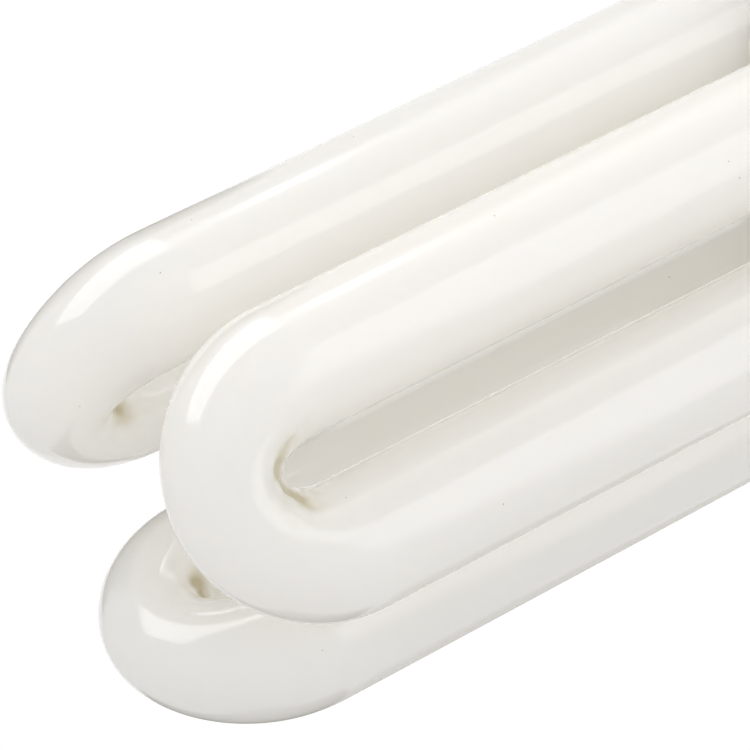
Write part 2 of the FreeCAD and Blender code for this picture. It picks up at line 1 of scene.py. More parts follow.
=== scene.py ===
# %% [markdown]
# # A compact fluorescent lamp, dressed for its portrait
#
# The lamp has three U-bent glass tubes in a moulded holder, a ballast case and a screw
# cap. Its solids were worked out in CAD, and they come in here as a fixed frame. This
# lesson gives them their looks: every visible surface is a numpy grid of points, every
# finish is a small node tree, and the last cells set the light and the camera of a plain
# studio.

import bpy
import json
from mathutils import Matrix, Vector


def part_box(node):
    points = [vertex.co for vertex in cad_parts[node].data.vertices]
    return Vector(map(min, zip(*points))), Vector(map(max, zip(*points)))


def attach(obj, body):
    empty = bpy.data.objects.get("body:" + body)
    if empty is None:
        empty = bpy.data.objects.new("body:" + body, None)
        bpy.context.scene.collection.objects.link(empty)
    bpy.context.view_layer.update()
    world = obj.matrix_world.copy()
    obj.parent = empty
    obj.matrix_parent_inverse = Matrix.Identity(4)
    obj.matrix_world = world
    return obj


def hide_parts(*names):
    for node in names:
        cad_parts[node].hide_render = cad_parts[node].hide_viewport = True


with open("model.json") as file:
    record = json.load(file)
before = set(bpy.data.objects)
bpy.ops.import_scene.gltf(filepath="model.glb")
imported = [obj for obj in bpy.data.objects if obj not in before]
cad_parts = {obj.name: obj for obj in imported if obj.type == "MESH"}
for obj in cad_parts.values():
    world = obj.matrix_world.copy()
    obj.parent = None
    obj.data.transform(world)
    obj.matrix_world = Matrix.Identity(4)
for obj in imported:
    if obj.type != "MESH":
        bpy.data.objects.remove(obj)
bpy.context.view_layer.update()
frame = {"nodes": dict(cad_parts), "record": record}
print("nodes in the frame:", len(frame["nodes"]))

# %% The other tools
import json
import math

import bpy
import numpy as np

MM = 0.001
scene = bpy.context.scene

# %% [markdown]
# ## Sizes
#
# The numbers below are the lamp's own, in millimetres. They repeat what the CAD model
# was built from, so that each dressed piece lies exactly where its solid lies. Sizes that
# can be read from the frame, such as the level of the deck, are read from it.

# %% The lamp's sizes
TUBE_R = 6.0
LEG_GAP = 3.9
AXIS_GAP = 8.4
LEG_SPACING = 2 * TUBE_R + LEG_GAP
TUBE_TO_AXIS = TUBE_R + AXIS_GAP
BEND_RISE = 1.207 * LEG_SPACING / 2
BEND_THINNING = 0.152
BEND_THINNING_POWER = 2.26
TUBE_FACES = {"front_u_tube": -90.0, "left_u_tube": 150.0, "right_u_tube": 30.0}
DECK_Z = round(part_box("tube_holder")[1].z / MM, 3)
TIP_Z = round(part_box("front_u_tube")[1].z / MM, 3)
LEG_END_Z = round(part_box("front_u_tube")[0].z / MM, 3)
BEND_Z = TIP_Z - BEND_RISE - TUBE_R * (1 - BEND_THINNING)
print("deck", DECK_Z, "tips", TIP_Z, "bends start", round(BEND_Z, 2))

# %% [markdown]
# ## From points to a mesh
#
# Nearly every piece is made in the same way. A shape is a grid of points with rows along
# one direction and columns round the other, and each cell of the grid is one square face.
# Numpy works out the indices of all the faces at once. Where the rows don't wrap round, a
# fan of triangles closes each end of the grid, so that no piece has a hole in it.

# %% Helpers that turn grids into meshes
def grid_faces(rows, cols, wrap_rows=False):
    """Square faces of a grid whose columns wrap round. Face (i, j) joins the points
    (i, j), (i, j+1), (i+1, j+1) and (i+1, j)."""
    i = np.arange(rows if wrap_rows else rows - 1)
    j = np.arange(cols)
    i, j = np.meshgrid(i, j, indexing="ij")
    row, next_row, next_col = i * cols, (i + 1) % rows * cols, (j + 1) % cols
    faces = np.stack([row + j, row + next_col, next_row + next_col, next_row + j], axis=-1)
    return faces.reshape(-1, 4)


def volume_of(points, faces):
    """Signed volume: the sum over the faces' triangles of a . (b x c) / 6."""
    total = 0.0
    for k in range(1, faces.shape[1] - 1):
        a, b, c = points[faces[:, 0]], points[faces[:, k]], points[faces[:, k + 1]]
        total += np.einsum("ij,ij->i", a, np.cross(b, c)).sum() / 6
    return total


def skin(name, rings, wrap_rows=False):
    """A closed mesh object from an array (rows, cols, 3) in millimetres. Where the rows
    don't wrap round, each end gets a fan to its middle point. The faces are flipped where
    the volume comes out negative."""
    rows, cols = rings.shape[:2]
    points = rings.reshape(-1, 3)
    faces = [grid_faces(rows, cols, wrap_rows)]
    if not wrap_rows:
        points = np.vstack([points, rings[0].mean(axis=0), rings[-1].mean(axis=0)])
        first_middle, last_middle = rows * cols, rows * cols + 1
        j = np.arange(cols)
        after = (j + 1) % cols
        faces.append(np.stack([after, j, np.full(cols, first_middle)], axis=-1))
        row = (rows - 1) * cols
        faces.append(np.stack([row + j, row + after, np.full(cols, last_middle)], axis=-1))
    turned = sum(volume_of(points, f) for f in faces) < 0
    polygons = [row for f in faces for row in (f[:, ::-1] if turned else f).tolist()]
    mesh = bpy.data.meshes.new(name)
    mesh.from_pydata((points * MM).tolist(), [], polygons)
    mesh.polygons.foreach_set("use_smooth", np.ones(len(polygons), dtype=bool))
    mesh.update()
    piece = bpy.data.objects.new(name, mesh)
    scene.collection.objects.link(piece)
    return piece


def paint(piece, label, values):
    """Stores one number per point of the mesh, for its material to read."""
    layer = piece.data.attributes.new(label, "FLOAT", "POINT")
    full = np.zeros(len(piece.data.vertices), dtype=np.float32)
    full[: values.size] = values.ravel()
    layer.data.foreach_set("value", full)


def settle(piece, slot, *nodes):
    """Rides the piece on the lamp's one body and lets it stand for its CAD nodes."""
    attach(piece, "root")
    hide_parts(*nodes)
    print(piece.name, "faces:", len(piece.data.polygons))


# %% [markdown]
# ## Turned shapes
#
# The housing, the cap and the contact are all turned shapes: a profile of radius and
# height, carried round the axis. A real moulding has no sharp corner, so each corner of
# a profile is rounded first. The rounding replaces a corner by a short curve that starts
# and ends on its two sides, and a wide corner gets a wide curve.

# %% Profiles with rounded corners, carried round the axis
def rounded(corners, steps=5):
    """A closed profile from (radius, height, rounding) corners. Each corner becomes a
    quadratic curve (1-t)^2 a + 2t(1-t) corner + t^2 b, where a and b lie on its two
    sides at the rounding's distance, at most 45% of the side."""
    p = np.array([c[:2] for c in corners], dtype=float)
    size = np.array([c[2] for c in corners], dtype=float)
    back, ahead = np.roll(p, 1, axis=0) - p, np.roll(p, -1, axis=0) - p
    reach_back, reach_ahead = np.linalg.norm(back, axis=1), np.linalg.norm(ahead, axis=1)
    a = p + back * (np.minimum(size, 0.45 * reach_back) / reach_back)[:, None]
    b = p + ahead * (np.minimum(size, 0.45 * reach_ahead) / reach_ahead)[:, None]
    t = np.linspace(0, 1, steps)[None, :, None]
    curve = (1 - t) ** 2 * a[:, None] + 2 * t * (1 - t) * p[:, None] + t ** 2 * b[:, None]
    return curve.reshape(-1, 2)


def lathe_rings(profile, turns=128):
    """Carries the profile (r, z) round: x = r cos a, y = r sin a, z = z."""
    a = np.linspace(0, 2 * math.pi, turns, endpoint=False)
    r, z = profile[:, 0][:, None], profile[:, 1][:, None]
    return np.stack([r * np.cos(a), r * np.sin(a), z + 0 * a], axis=-1)


# %% [markdown]
# ## Finishes
#
# Each finish is a Principled shader with a little variation from noise, in the object's
# own coordinates, so it stays put from every side. The helper below builds the common
# part: a colour that drifts between two near values, a roughness and a fine grain for the
# bump. Values that are the same all over are set on the shader's sockets.

# %% A helper for finishes
def finish_material(name, colour, second, roughness, grain, bump,
                    drift=90.0, metallic=0.0, coat=0.0):
    """A material whose colour drifts from colour to second by a slow noise of scale
    drift, and whose surface has a fine noise of scale grain, with a height of bump in
    millimetres."""
    mat = bpy.data.materials.new(name)
    mat.use_nodes = True
    nodes, links = mat.node_tree.nodes, mat.node_tree.links
    shader = nodes["Principled BSDF"]
    place = nodes.new("ShaderNodeTexCoord")
    slow = nodes.new("ShaderNodeTexNoise")
    slow.inputs["Scale"].default_value = drift
    slow.inputs["Detail"].default_value = 4.0
    blend = nodes.new("ShaderNodeMix")
    blend.data_type = "RGBA"
    blend.inputs["A"].default_value = (*colour, 1)
    blend.inputs["B"].default_value = (*second, 1)
    fine = nodes.new("ShaderNodeTexNoise")
    fine.inputs["Scale"].default_value = grain
    fine.inputs["Detail"].default_value = 3.0
    relief = nodes.new("ShaderNodeBump")
    relief.inputs["Distance"].default_value = bump * MM
    relief.inputs["Strength"].default_value = 0.6
    links.new(place.outputs["Object"], slow.inputs["Vector"])
    links.new(place.outputs["Object"], fine.inputs["Vector"])
    links.new(slow.outputs["Fac"], blend.inputs["Factor"])
    links.new(blend.outputs["Result"], shader.inputs["Base Color"])
    links.new(fine.outputs["Fac"], relief.inputs["Height"])
    links.new(relief.outputs["Normal"], shader.inputs["Normal"])
    shader.inputs["Roughness"].default_value = roughness
    shader.inputs["Metallic"].default_value = metallic
    shader.inputs["Coat Weight"].default_value = coat
    shader.inputs["Coat Roughness"].default_value = 0.04
    return mat


# %% [markdown]
# ## Phosphor behind glass
#
# A fluorescent tube is clear glass with a white powder on its inside. From outside, the
# glass bends the light so much that the powder seems to fill the whole tube. Real clear
# glass over a powder would need thousands of samples to come out clean, so the powder is
# a matt white base here and the glass is a clear coat over it, which mirrors the studio
# with soft edges. The powder is a thin layer and lets much light through: light that
# enters one side of a tube comes out of the other. The base therefore scatters light
# over 60 mm, which keeps the sides of the tubes that face each other bright. The short
# bridges are cut off from most light and would go dark that way, so their finish is the
# At the inner side of each bend the glass is folded and thick, and the powder is thin and
# brownish there. An attribute painted on the mesh turns the colour there olive brown, both
# for the thin powder and as painted shade in the crease of the bend.

# %% The finish of the glass tubes
def phosphor_glass(name, depth):
    """Matt phosphor white under a clear glass coat. Light goes through it for about the
    given depth in millimetres. An attribute painted on the mesh mixes in a brown-grey at
    the inner bends, for the thin powder there and as painted shade in their crease, and a
    sparse Voronoi pattern leaves a few dust specks."""
    mat = bpy.data.materials.new(name)
    mat.use_nodes = True
    nodes, links = mat.node_tree.nodes, mat.node_tree.links
    shader = nodes["Principled BSDF"]
    place = nodes.new("ShaderNodeTexCoord")
    cloud = nodes.new("ShaderNodeTexNoise")
    cloud.inputs["Scale"].default_value = 55.0
    cloud.inputs["Detail"].default_value = 3.0
    powder = nodes.new("ShaderNodeMix")
    powder.data_type = "RGBA"
    powder.inputs["A"].default_value = (0.991, 0.975, 0.943, 1)
    powder.inputs["B"].default_value = (0.994, 0.981, 0.954, 1)
    fold_and_shade = nodes.new("ShaderNodeAttribute")
    fold_and_shade.attribute_name = "fold_and_shade"
    fold_and_shade_mix = nodes.new("ShaderNodeMix")
    fold_and_shade_mix.data_type = "RGBA"
    # painted shade: this olive brown stands for the thin powder at the inner bend and also
    # paints the shade in its crease
    fold_and_shade_mix.inputs["B"].default_value = (0.35, 0.325, 0.24, 1)
    specks = nodes.new("ShaderNodeTexVoronoi")
    specks.inputs["Scale"].default_value = 300.0
    dot = nodes.new("ShaderNodeMath")
    dot.operation = "LESS_THAN"
    dot.inputs[1].default_value = 0.017
    dusty = nodes.new("ShaderNodeMix")
    dusty.data_type = "RGBA"
    dusty.inputs["B"].default_value = (0.30, 0.28, 0.25, 1)
    ripple = nodes.new("ShaderNodeTexNoise")
    ripple.inputs["Scale"].default_value = 70.0
    ripple.inputs["Detail"].default_value = 1.0
    relief = nodes.new("ShaderNodeBump")
    relief.inputs["Distance"].default_value = 0.10 * MM
    relief.inputs["Strength"].default_value = 0.22
    links.new(place.outputs["Object"], cloud.inputs["Vector"])
    links.new(place.outputs["Object"], specks.inputs["Vector"])
    links.new(place.outputs["Object"], ripple.inputs["Vector"])
    links.new(cloud.outputs["Fac"], powder.inputs["Factor"])
    links.new(powder.outputs["Result"], fold_and_shade_mix.inputs["A"])
    links.new(fold_and_shade.outputs["Fac"], fold_and_shade_mix.inputs["Factor"])
    links.new(fold_and_shade_mix.outputs["Result"], dusty.inputs["A"])
    links.new(specks.outputs["Distance"], dot.inputs[0])
    links.new(dot.outputs["Value"], dusty.inputs["Factor"])
    links.new(dusty.outputs["Result"], shader.inputs["Base Color"])
    links.new(ripple.outputs["Fac"], relief.inputs["Height"])
    links.new(relief.outputs["Normal"], shader.inputs["Coat Normal"])
    shader.inputs["Roughness"].default_value = 0.75
    shader.inputs["Subsurface Weight"].default_value = 1.0 if depth else 0.0
    shader.inputs["Subsurface Radius"].default_value = (1.0, 0.92, 0.80)
    shader.inputs["Subsurface Scale"].default_value = depth * MM
    shader.inputs["Specular IOR Level"].default_value = 0.15
    shader.inputs["Coat Weight"].default_value = 1.0
    shader.inputs["Coat Roughness"].default_value = 0.12
    shader.inputs["Coat IOR"].default_value = 1.5
    shader.inputs["Coat Tint"].default_value = (1.0, 0.995, 0.985, 1)
    return mat


glass_finish = phosphor_glass("phosphor_glass", 60.0)
bridge_finish = phosphor_glass("bridge_glass", 0.0)
print("finishes:", glass_finish.name, bridge_finish.name)

# %% [markdown]
# ## The three U-bent tubes
#
# Each tube is one path: up one leg, over a bend that is half an ellipse, and down the
# other leg. A round section is carried along the path, always square to it. The glass
# was stretched as it was bent, so the section is thinnest at the top of the bend. On
# the inner side the glass had nowhere to go and folded a little: a few ripples there
# catch the light. Each tube has its own ripples, from a seeded random generator, so the
# three bends are not copies of one another.

# %% Build one tube along its path
def tube_path(leg_rows=44, bend_rows=120):
    """The path in the tube's own plane: places across and up, heading, and the turn
    theta, which goes from 0 to pi over the bend. The bend's centre line is
    (-half cos theta, rise sin theta)."""
    half = LEG_SPACING / 2
    leg = np.ones(leg_rows)
    climb = LEG_END_Z + (BEND_Z - LEG_END_Z) * np.linspace(0, 1, leg_rows, endpoint=False)
    theta = np.linspace(0, math.pi, bend_rows)
    across = np.concatenate([-half * leg, -half * np.cos(theta), half * leg])
    up = np.concatenate([climb, BEND_Z + BEND_RISE * np.sin(theta), climb[::-1]])
    head_x = np.concatenate([0 * leg, half * np.sin(theta), 0 * leg])
    head_z = np.concatenate([leg, BEND_RISE * np.cos(theta), -leg])
    length = np.hypot(head_x, head_z)
    turn = np.concatenate([0 * leg, theta, math.pi * leg])
    return across, up, head_x / length, head_z / length, turn


GROOVE_LEAN = 0.78
GROOVE_WIDTH = 0.17


def fold_lines(theta, inner, chance):
    """Depth of the folds at the bend's inner side, in millimetres, and the amount of
    brown-grey painted there. A groove runs along the bend at about GROOVE_LEAN radians on both
    sides of the innermost line, wandering by slow sines of theta, with finer wrinkles
    sin(k inner + m theta) beside it. The brown-grey stands for thin powder and is painted
    shade in the crease of the bend as well; it is a little stronger towards the second leg."""
    slow, quick = chance.uniform(0, 6.3), chance.uniform(0, 6.3)
    wander = GROOVE_LEAN + 0.10 * np.sin(2 * theta + slow) + 0.05 * np.sin(5 * theta + quick)
    groove = np.exp(-(((np.abs(inner) - wander) / GROOVE_WIDTH) ** 2))
    wrinkles = sum(
        chance.uniform(0.5, 1.0) * np.sin(k * inner + m * theta + chance.uniform(0, 6.3))
        for k, m in ((13, 4), (19, -7), (9, 12))
    )
    broad = np.exp(-((inner / 1.0) ** 4))
    deep = 0.08 * broad + (0.24 + 0.08 * wrinkles) * groove + 0.065 * wrinkles * broad
    # painted shade: brown-grey along the groove and round the inner bend darkens the crease,
    # together with the real thin powder
    thin_powder_and_shade = 0.75 * groove + (0.42 + 0.14 * wrinkles) * np.exp(-((inner / 1.25) ** 4))
    thin_powder_and_shade = thin_powder_and_shade + 0.09 * np.sin(theta / 2) ** 2 * np.exp(-((inner / 1.8) ** 6))
    return deep, thin_powder_and_shade


def u_tube(name, seed, around=128):
    """One tube. A point of the section at angle a is centre + r (cos a side + sin a out),
    where side points away from the bend's middle. The folds lower r on the inner side."""
    across, up, hx, hz, theta = tube_path()
    a = np.linspace(0, 2 * math.pi, around, endpoint=False)[None, :]
    bent = np.sin(theta)[:, None]
    r = TUBE_R * (1 - BEND_THINNING * np.abs(bent) ** BEND_THINNING_POWER)
    inner = np.angle(np.exp(1j * (a - math.pi)))
    deep, thin_powder_and_shade = fold_lines(theta[:, None], inner, np.random.default_rng(seed))
    r = r - deep * np.clip(bent, 0, 1) ** 1.5
    side_x, side_z = -hz[:, None], hx[:, None]
    x = across[:, None] + r * np.cos(a) * side_x
    z = up[:, None] + r * np.cos(a) * side_z
    y = TUBE_TO_AXIS + r * np.sin(a)
    turn = math.radians(TUBE_FACES[name] - 90)
    world_x = x * math.cos(turn) - y * math.sin(turn)
    world_y = x * math.sin(turn) + y * math.cos(turn)
    piece = skin("glass_" + name, np.stack([world_x, world_y, z], axis=-1))
    # painted shade: this attribute gives the crease at the inner bend its brown-grey
    paint(piece, "fold_and_shade", np.clip(thin_powder_and_shade * np.clip(bent * 1.15, 0, 1) ** 2, 0, 1))
    piece.data.materials.append(glass_finish)
    settle(piece, "glass", name)


for tube_name, tube_seed in (("front_u_tube", 3), ("left_u_tube", 11), ("right_u_tube", 29)):
    u_tube(tube_name, tube_seed)

# %% [markdown]
# ## The two glass bridges
#
# The three tubes are one discharge path: short bridges, melted into the legs near the
# holder, join them. A bridge is a small tube whose ends widen where the glass ran into
# the leg. The grid runs round the bridge and along it, and each line of it starts and
# ends just inside the round wall of a leg.

# %% Build the bridges
MELT_DEPTH = 0.12


def leg_centre(face_angle, side):
    """Centre of a leg: out from the axis by TUBE_TO_AXIS, then sideways by half the
    spacing of the legs."""
    t = math.radians(face_angle)
    along = side * LEG_SPACING / 2
    return np.array([
        TUBE_TO_AXIS * math.cos(t) - along * math.sin(t),
        TUBE_TO_AXIS * math.sin(t) + along * math.cos(t),
    ])


def glass_bridge(name, start, end, around=64, rows=33):
    """A flared tube between two legs: radius (1 + 0.25 |2t-1|^6), and each line runs
    from sqrt(R^2 - b^2) outside one leg's centre to the same outside the other's, where b
    is the line's distance to the side. Both ends sink into the legs by MELT_DEPTH."""
    low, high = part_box(name)
    level, radius = (low.z + high.z) / 2 / MM, (high.z - low.z) / 2 / MM
    way = end - start
    length = np.linalg.norm(way)
    way = way / length
    across = np.array([-way[1], way[0]])
    t = np.linspace(0, 1, rows)[:, None]
    a = np.linspace(0, 2 * math.pi, around, endpoint=False)[None, :]
    r = radius * (1 + 0.25 * np.abs(2 * t - 1) ** 6)
    b, h = r * np.cos(a), r * np.sin(a)
    root = np.sqrt(TUBE_R ** 2 - b ** 2) - MELT_DEPTH
    s = root * (1 - t) + (length - root) * t
    xy = start + s[..., None] * way + b[..., None] * across
    piece = skin("glass_" + name, np.concatenate([xy, (level + h)[..., None]], axis=-1))
    piece.data.materials.append(bridge_finish)
    settle(piece, "glass", name)


glass_bridge("left_bridge", leg_centre(-90, -1), leg_centre(150, 1))
glass_bridge("right_bridge", leg_centre(-90, 1), leg_centre(30, -1))

# %% [markdown]
# ## The moulded housing
#
# The case and the holder are white thermoplastic with a fine matt grain from the mould.
# Both are turned profiles with rounded corners. The holder's deck has six holes for the
# legs: they are cut with a Boolean modifier, which is applied so that a Bevel can then
# round their edges as a mould does.

# %% The finish of the housing
housing_finish = finish_material(
    "housing_moulding", (0.80, 0.80, 0.775), (0.83, 0.828, 0.805), 0.46, 2600.0, 0.035)
print("finish:", housing_finish.name)

# %% The ballast case: bowl, collar and neck
NECK_FOOT_Z = round(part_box("ballast_case")[0].z / MM, 3)
CASE_TOP_Z = round(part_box("ballast_case")[1].z / MM, 3)
CASE_R = round(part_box("ballast_case")[1].x / MM, 3)
SHELL_TOP_Z = round(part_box("screw_shell")[1].z / MM, 3)
CASE_WALL = 1.7
NECK_R = 11.6
NECK_BORE_R = 10.4
RIM_SEAT_R = 12.6
SHOULDER_R = 14.5
SHOULDER_BORE_R = 13.0


def case_profile():
    """Corners of the case's section, outside upwards and inside downwards, with how far
    each is rounded. The neck is slim where the thread's roots pass it."""
    return rounded([
        (NECK_BORE_R, NECK_FOOT_Z, 0.2),
        (NECK_R, NECK_FOOT_Z, 0.4),
        (NECK_R, SHELL_TOP_Z - 2.6, 0.3),
        (RIM_SEAT_R, SHELL_TOP_Z - 1.9, 0.3),
        (RIM_SEAT_R, SHELL_TOP_Z, 0.1),
        (SHOULDER_R, SHELL_TOP_Z, 0.5),
        (SHOULDER_R, SHELL_TOP_Z + 1.5, 0.9),
        (CASE_R, SHELL_TOP_Z + 13.0, 6.0),
        (CASE_R, CASE_TOP_Z, 0.35),
        (CASE_R - CASE_WALL, CASE_TOP_Z, 0.3),
        (CASE_R - CASE_WALL, SHELL_TOP_Z + 14.0, 5.0),
        (SHOULDER_BORE_R, SHELL_TOP_Z + 2.4, 1.0),
        (NECK_BORE_R, SHELL_TOP_Z - 0.2, 0.8),
    ], steps=9)


case = skin("ballast_bowl", lathe_rings(case_profile(), 192), wrap_rows=True)
case.data.materials.append(housing_finish)
settle(case, "housing", "ballast_case")

# %% The tube holder with its six holes
SPIGOT_R = 24.2
SPIGOT_BORE_R = 22.8
SEAM = 0.12
DECK_WALL = 2.0
NEAR_AXIS = 0.001
HOLE_R = 6.15


def holder_profile():
    """Corners of the holder's section: spigot, shoulder, wall, rounded rim, deck."""
    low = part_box("tube_holder")[0].z / MM
    return rounded([
        (SPIGOT_BORE_R, low, 0.2),
        (SPIGOT_R, low, 0.4),
        (SPIGOT_R, CASE_TOP_Z + SEAM, 0.1),
        (CASE_R, CASE_TOP_Z + SEAM, 0.35),
        (CASE_R, DECK_Z, 1.9),
        (NEAR_AXIS, DECK_Z, 0.0),
        (NEAR_AXIS, DECK_Z - DECK_WALL, 0.0),
        (SPIGOT_BORE_R, DECK_Z - DECK_WALL, 0.6),
    ], steps=9)


def leg_cutter(around=96):
    """Six upright cylinders a little wider than the legs, as one mesh, for the Boolean."""
    a = np.linspace(0, 2 * math.pi, around, endpoint=False)
    rim = np.arange(around)
    points, faces = [], []
    for face_angle in TUBE_FACES.values():
        for side in (-1, 1):
            centre_x, centre_y = leg_centre(face_angle, side)
            base = len(points) * around
            x, y = centre_x + HOLE_R * np.cos(a), centre_y + HOLE_R * np.sin(a)
            for z in (DECK_Z - 4, DECK_Z + 3):
                points.append(np.stack([x, y, np.full(around, z)], axis=-1))
            faces += (grid_faces(2, around) + base).tolist()
            faces += [(base + rim[::-1]).tolist(), (base + around + rim).tolist()]
    mesh = bpy.data.meshes.new("leg_cutter")
    mesh.from_pydata((np.vstack(points) * MM).tolist(), [], faces)
    cutter = bpy.data.objects.new("leg_cutter", mesh)
    scene.collection.objects.link(cutter)
    return cutter


def apply_modifiers(piece):
    """Takes the mesh as its modifiers leave it and drops the modifiers."""
    depsgraph = bpy.context.evaluated_depsgraph_get()
    done = bpy.data.meshes.new_from_object(piece.evaluated_get(depsgraph))
    piece.modifiers.clear()
    piece.data = done


holder = skin("holder_moulding", lathe_rings(holder_profile(), 192), wrap_rows=True)
cutter = leg_cutter()
cut = holder.modifiers.new("leg holes", "BOOLEAN")
cut.object = cutter
cut.operation = "DIFFERENCE"
cut.solver = "EXACT"
apply_modifiers(holder)
bpy.data.objects.remove(cutter)
soft_edge = holder.modifiers.new("moulded edges", "BEVEL")
soft_edge.width = 0.28 * MM
soft_edge.segments = 3
soft_edge.limit_method = "ANGLE"
soft_edge.angle_limit = math.radians(50)
holder.data.materials.append(housing_finish)
settle(holder, "housing", "tube_holder")

# %% [markdown]
# ## The screw cap
#
# The shell of the cap is thin metal, rolled with a round knuckle thread. A right-handed
# thread rises as it turns counter-clockwise seen from above: with the phase z / pitch -
# angle / 2 pi, the wall is widest where the phase is a whole number. One cosine of that
# phase gives the whole thread, with no spiral to sweep. It fades out towards the plain
# band at the top and the rounded shoulder at the foot. Four small dents near the rim
# are where the shell is pressed into the neck.

# %% The finish of the cap's metal
cap_finish = finish_material(
    "rolled_cap_metal", (0.66, 0.655, 0.64), (0.58, 0.575, 0.56), 0.27, 420.0, 0.02,
    drift=160.0, metallic=1.0)
print("finish:", cap_finish.name)

# %% The screw shell
PITCH = 3.63
THREAD_MID_R = 12.72
THREAD_HALF_DEPTH = 0.46
BAND_STEP = 0.36
DENT_DEPTH = 0.38
DENT_SIZE = 0.42
RIM_R = 13.0
FOOT_RISE = 3.0
LIP_R = 9.7
LIP_Z = round(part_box("screw_shell")[0].z / MM, 3)


def smooth_step(x, low, high):
    """0 below low, 1 above high, and 3t^2 - 2t^3 between them."""
    t = np.clip((x - low) / (high - low), 0, 1)
    return t * t * (3 - 2 * t)


def shell_radius(z, a):
    """Radius of the shell's wall: a plain wall that steps out to the band at the top,
    with the thread's cosine on it between smooth steps, a shoulder that closes like a
    quarter circle at the foot, and four dents near the rim."""
    phase = z / PITCH - a / (2 * math.pi)
    begins = smooth_step(z, LIP_Z + 1.2, LIP_Z + 3.4)
    fades = smooth_step(z, SHELL_TOP_Z - 4.4, SHELL_TOP_Z - 2.8)
    thread = begins * (1 - fades) * THREAD_HALF_DEPTH * np.cos(2 * math.pi * phase)
    band = BAND_STEP * smooth_step(z, SHELL_TOP_Z - 4.0, SHELL_TOP_Z - 2.6)
    wall = THREAD_MID_R + band + thread
    depth = np.clip((LIP_Z + FOOT_RISE - z) / FOOT_RISE, 0, 1)
    foot = LIP_R + (wall - LIP_R) * np.sqrt(np.clip(1 - depth ** 2.4, 0, 1))
    below_rim = (z - SHELL_TOP_Z + 1.3) / DENT_SIZE
    beside = np.angle(np.exp(4j * a)) / 4 * RIM_R / DENT_SIZE
    return foot - DENT_DEPTH * np.exp(-below_rim ** 2 - beside ** 2)


def shell_rings(rows=150, turns=240, sheet=0.3):
    """The outer wall upwards, then the inner wall downwards, as one closed section."""
    a = np.linspace(0, 2 * math.pi, turns, endpoint=False)[None, :]
    up = (LIP_Z + (SHELL_TOP_Z - LIP_Z) * np.linspace(0, 1, rows) ** 1.15)[:, None]
    outer = shell_radius(up, a)
    down = up[::-1]
    inner = np.maximum(shell_radius(np.clip(down, LIP_Z + 0.02, None), a) - sheet, LIP_R)
    lift = sheet * (1 - smooth_step(down, LIP_Z, LIP_Z + FOOT_RISE))
    z = np.vstack([up + 0 * a, down + lift + 0 * a])
    r = np.vstack([outer, inner])
    z = np.minimum(z, SHELL_TOP_Z)
    return np.stack([r * np.cos(a), r * np.sin(a), z], axis=-1)


shell = skin("threaded_shell", shell_rings(), wrap_rows=True)
shell.data.materials.append(cap_finish)
settle(shell, "cap_metal", "screw_shell")

# %% [markdown]
# ## Insulator, contact and solder
#
# The foot of the cap is black insulating glass with a round contact plate in its
# middle, and the live wire ends there in a drop of solder. The drop is a low dome whose
# height is stirred by a few slow waves, as cooled solder is.

# %% The foot of the cap
insulator_finish = finish_material(
    "insulating_glass", (0.012, 0.012, 0.014), (0.022, 0.021, 0.022), 0.18, 500.0, 0.03,
    coat=0.6)
contact_finish = finish_material(
    "contact_metal", (0.72, 0.66, 0.50), (0.62, 0.56, 0.42), 0.30, 700.0, 0.02,
    drift=300.0, metallic=1.0)
solder_finish = finish_material(
    "tin_solder", (0.62, 0.62, 0.63), (0.50, 0.50, 0.52), 0.34, 900.0, 0.04,
    drift=500.0, metallic=1.0)
INSULATOR_TOP_Z = round(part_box("cap_insulator")[1].z / MM, 3)
CONTACT_TOP_Z = round(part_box("centre_contact")[1].z / MM, 3)
CONTACT_Z = round(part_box("centre_contact")[0].z / MM, 3)
EYELET_R = 1.0
CONTACT_R = 5.0
SOLDER_R = 1.93
SOLDER_SINK = 0.05

insulator = skin("insulator_glass", lathe_rings(rounded([
    (EYELET_R, CONTACT_TOP_Z, 0.1),
    (CONTACT_R + 0.5, CONTACT_TOP_Z, 0.5),
    (LIP_R, LIP_Z, 0.6),
    (LIP_R, INSULATOR_TOP_Z, 0.3),
    (EYELET_R, INSULATOR_TOP_Z, 0.3),
]), 128), wrap_rows=True)
insulator.data.materials.append(insulator_finish)
settle(insulator, "insulator", "cap_insulator")

contact = skin("contact_plate", lathe_rings(rounded([
    (EYELET_R, CONTACT_Z, 0.15),
    (CONTACT_R, CONTACT_Z, 0.35),
    (CONTACT_R, CONTACT_TOP_Z, 0.1),
    (EYELET_R, CONTACT_TOP_Z, 0.1),
]), 96), wrap_rows=True)
contact.data.materials.append(contact_finish)
settle(contact, "contact", "centre_contact")


def solder_drop(rows=28, around=72):
    """A dome whose depth falls as sqrt(1 - q^2) over its radius, with the radius and the
    surface stirred by slow waves round it."""
    q = np.linspace(0.02, 1, rows)[:, None]
    a = np.linspace(0, 2 * math.pi, around, endpoint=False)[None, :]
    rim = SOLDER_R * (1 + 0.03 * np.sin(3 * a + 1) + 0.02 * np.sin(5 * a))
    r = q * rim
    dome = np.sqrt(np.clip(1 - q ** 2, 0, 1))
    top = CONTACT_Z + SOLDER_SINK
    z = top - top * dome * (1 - 0.05 * (1 - np.cos(2 * a + 0.7)) * q)
    return np.stack([r * np.cos(a), r * np.sin(a), z + 0 * a], axis=-1)


solder = skin("solder_drop", solder_drop())
solder.data.materials.append(solder_finish)
settle(solder, "solder", "contact_solder")

# %% [markdown]
# ## Parts inside the case
#
# The ballast's parts keep their CAD solids and get real finishes: paper laminate,
# ferrite, enamelled copper, tinned leads, moulded epoxy. Nothing of them shows while the
# case is closed, but they are there when someone takes the lamp apart.

